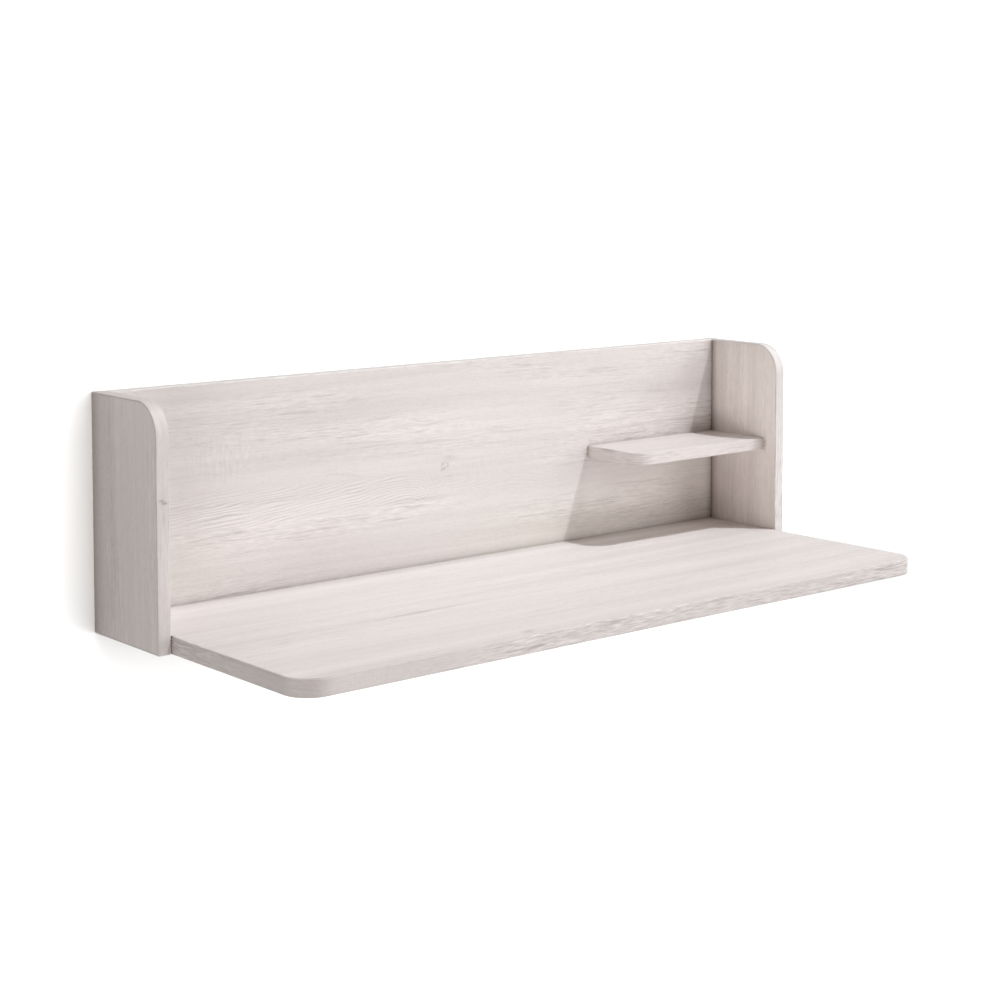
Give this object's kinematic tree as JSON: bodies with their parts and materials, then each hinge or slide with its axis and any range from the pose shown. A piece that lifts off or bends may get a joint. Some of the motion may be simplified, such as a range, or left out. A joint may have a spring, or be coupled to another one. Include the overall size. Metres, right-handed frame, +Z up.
{
  "type": "wall-mounted desk",
  "caption": "Wall-mounted desk: a low back panel between rounded side panels, a deep desktop and a small corner shelf, in pale wood-effect laminate.",
  "frame": {"origin": "middle of the four hanging holes, in the plane of the wall that the back panel lies against", "axes": "+X to the right along the wall, seen from the front; +Y into the wall; +Z up"},
  "size_m": [1.1, 0.43, 0.305],
  "materials": {
    "laminate": "matt wood-effect melamine on chipboard, pale whitewashed oak",
    "edge_band": "matt wood-effect plastic edge band",
    "steel": "zinc-plated",
    "zinc": "die-cast, dull",
    "beech": "plain turned beech"
  },
  "bodies": {
    "root": {"left_side_panel": "laminate", "right_side_panel": "laminate", "back_panel": "laminate", "desktop": "laminate", "corner_shelf": "laminate", "left_side_edge_band": "edge_band", "right_side_edge_band": "edge_band", "left_side_bottom_band": "edge_band", "right_side_bottom_band": "edge_band", "back_panel_top_band": "edge_band", "back_panel_bottom_band": "edge_band", "desktop_edge_band": "edge_band", "shelf_edge_band": "edge_band", "back_panel_cams": "zinc", "back_panel_cam_bolts": "steel", "back_panel_end_dowels": "beech", "desktop_cams": "zinc", "desktop_cam_bolts": "steel", "desktop_end_dowels": "beech", "desktop_rear_screws": "steel", "desktop_rear_dowels": "beech", "shelf_screws": "steel", "shelf_end_dowels": "beech", "hanging_plates": "steel", "hanging_plate_screws": "steel"}
  },
  "joints": []
}
